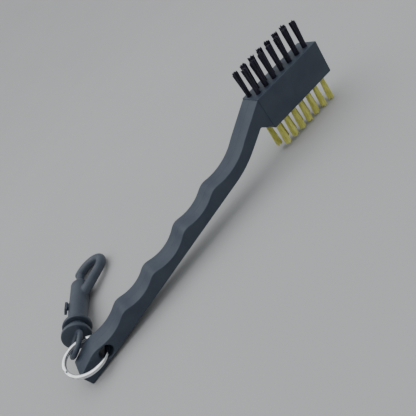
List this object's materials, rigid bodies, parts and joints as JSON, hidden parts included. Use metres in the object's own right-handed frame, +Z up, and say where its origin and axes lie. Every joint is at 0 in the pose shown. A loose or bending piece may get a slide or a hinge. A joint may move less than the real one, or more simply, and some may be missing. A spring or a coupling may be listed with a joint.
{
  "type": "club groove brush",
  "caption": "Two-sided golf club cleaning brush with nylon and brass bristles, a finger grip and a swivel snap hook on a split ring.",
  "frame": {"origin": "middle of the bounding box, on the surface that the brush stands on", "axes": "+X along the brush from tail to head, +Z up towards the nylon bristles, +Y back to the snap hook"},
  "size_m": [0.1738, 0.082, 0.0432],
  "materials": {
    "handle_plastic": "satin moulded plastic",
    "hook_plastic": "semi-gloss moulded acetal",
    "nylon": "crimped nylon filament",
    "brass": "fine brass wire",
    "steel": "bright nickel plate",
    "staple_wire": "flat staple wire"
  },
  "bodies": {
    "brush": {"handle": "handle_plastic", "nylon_anchors": "staple_wire", "brass_anchors": "staple_wire", "nylon_tuft_1": "nylon", "nylon_tuft_2": "nylon", "nylon_tuft_3": "nylon", "nylon_tuft_4": "nylon", "nylon_tuft_5": "nylon", "nylon_tuft_6": "nylon", "nylon_tuft_7": "nylon", "nylon_tuft_8": "nylon", "nylon_tuft_9": "nylon", "nylon_tuft_10": "nylon", "nylon_tuft_11": "nylon", "nylon_tuft_12": "nylon", "nylon_tuft_13": "nylon", "nylon_tuft_14": "nylon", "brass_tuft_1": "brass", "brass_tuft_2": "brass", "brass_tuft_3": "brass", "brass_tuft_4": "brass", "brass_tuft_5": "brass", "brass_tuft_6": "brass", "brass_tuft_7": "brass", "brass_tuft_8": "brass", "brass_tuft_9": "brass", "brass_tuft_10": "brass", "brass_tuft_11": "brass", "brass_tuft_12": "brass", "brass_tuft_13": "brass", "brass_tuft_14": "brass"},
    "ring": {"split_ring": "steel"},
    "eye": {"swivel_eye": "hook_plastic", "stem_washer": "steel"},
    "hook": {"hook_body": "hook_plastic", "bolt_spring": "steel"},
    "bolt": {"slide_bolt": "hook_plastic", "thumb_tab": "hook_plastic"}
  },
  "joints": [
    {"name": "ring_swing", "type": "hinge", "parent": "brush", "child": "ring", "pos_m": [-0.0697, -0.0311, 0.00546], "axis": [0, 1, 0], "range_deg": [0, 90]},
    {"name": "eye_swing", "type": "hinge", "parent": "ring", "child": "eye", "pos_m": [-0.07767, -0.0221, 0.01017], "axis": [0.9418, 0.109, -0.3179], "range_deg": [-28, 6]},
    {"name": "hook_swivel", "type": "hinge", "parent": "eye", "child": "hook", "pos_m": [-0.07703, -0.0165, 0.00917], "axis": [0.2583, 0.9605, -0.1037], "continuous": true},
    {"name": "bolt_slide", "type": "slide", "parent": "hook", "child": "bolt", "axis": [-0.2583, -0.9605, 0.1037], "range_m": [0, 0.0065], "stiffness_N_per_m": 200, "springref_m": -0.004, "deforming": ["bolt_spring"]}
  ]
}
